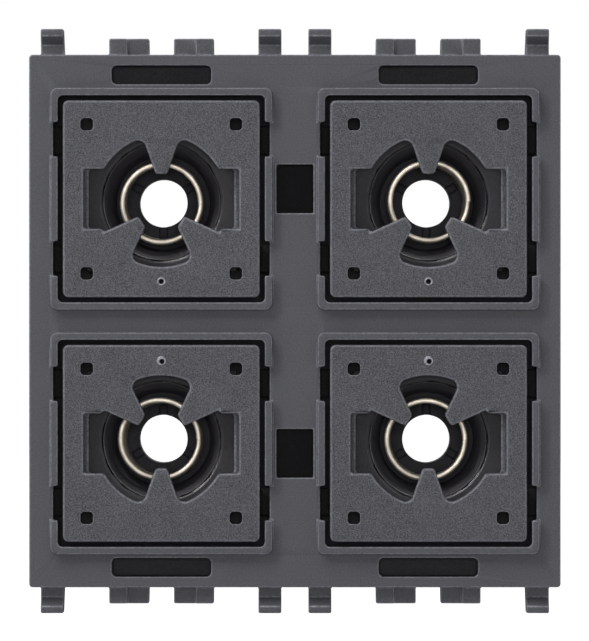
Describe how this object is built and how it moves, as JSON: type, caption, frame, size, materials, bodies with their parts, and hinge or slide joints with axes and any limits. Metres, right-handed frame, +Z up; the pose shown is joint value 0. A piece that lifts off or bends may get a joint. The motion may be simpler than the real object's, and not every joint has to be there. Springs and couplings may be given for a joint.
{
  "type": "pushbutton switch insert",
  "caption": "Square flush switch insert with sprung square pushbutton carriers in a grid, without finger caps, for a two-module mounting frame.",
  "frame": {"origin": "centre of the flange's front face", "axes": "+X right and +Z up as seen from the front, +Y to the rear, so the buttons travel along +Y"},
  "size_m": [0.0446, 0.022, 0.049],
  "materials": {
    "frame_plastic": "fine grained matt",
    "carrier_plastic": "fine grained matt",
    "cup_plastic": "satin moulded",
    "case_plastic": "satin moulded",
    "base_plastic": "satin moulded",
    "spring_steel": "drawn wire",
    "strip_brass": "stamped sheet",
    "contact_silver": "bright silver",
    "cage_steel": "zinc plated",
    "screw_steel": "zinc plated"
  },
  "bodies": {
    "housing": {"front_frame": "frame_plastic", "switch_case": "case_plastic", "terminal_base": "base_plastic", "common_strip": "strip_brass", "fixed_contacts": "contact_silver", "terminal_screws": "screw_steel", "cup_ul": "cup_plastic", "spring_ul": "spring_steel", "output_strip_ul": "strip_brass", "cup_ur": "cup_plastic", "spring_ur": "spring_steel", "output_strip_ur": "strip_brass", "cup_ll": "cup_plastic", "spring_ll": "spring_steel", "output_strip_ll": "strip_brass", "cup_lr": "cup_plastic", "spring_lr": "spring_steel", "output_strip_lr": "strip_brass", "terminal_cage_ul": "cage_steel", "terminal_cage_ur": "cage_steel", "terminal_cage_ll": "cage_steel", "terminal_cage_lr": "cage_steel", "terminal_cage_top": "cage_steel", "terminal_cage_bottom": "cage_steel"},
    "button_ul": {"carrier_ul": "carrier_plastic", "bridge_ul": "strip_brass", "bridge_contacts_ul": "contact_silver"},
    "button_ur": {"carrier_ur": "carrier_plastic", "bridge_ur": "strip_brass", "bridge_contacts_ur": "contact_silver"},
    "button_ll": {"carrier_ll": "carrier_plastic", "bridge_ll": "strip_brass", "bridge_contacts_ll": "contact_silver"},
    "button_lr": {"carrier_lr": "carrier_plastic", "bridge_lr": "strip_brass", "bridge_contacts_lr": "contact_silver"}
  },
  "joints": [
    {"name": "press_ul", "type": "slide", "parent": "housing", "child": "button_ul", "axis": [0, 1, 0], "range_m": [0, 0.0015], "stiffness_N_per_m": 400, "springref_m": -0.003, "deforming": ["spring_ul"]},
    {"name": "press_ur", "type": "slide", "parent": "housing", "child": "button_ur", "axis": [0, 1, 0], "range_m": [0, 0.0015], "stiffness_N_per_m": 400, "springref_m": -0.003, "deforming": ["spring_ur"]},
    {"name": "press_ll", "type": "slide", "parent": "housing", "child": "button_ll", "axis": [0, 1, 0], "range_m": [0, 0.0015], "stiffness_N_per_m": 400, "springref_m": -0.003, "deforming": ["spring_ll"]},
    {"name": "press_lr", "type": "slide", "parent": "housing", "child": "button_lr", "axis": [0, 1, 0], "range_m": [0, 0.0015], "stiffness_N_per_m": 400, "springref_m": -0.003, "deforming": ["spring_lr"]}
  ]
}
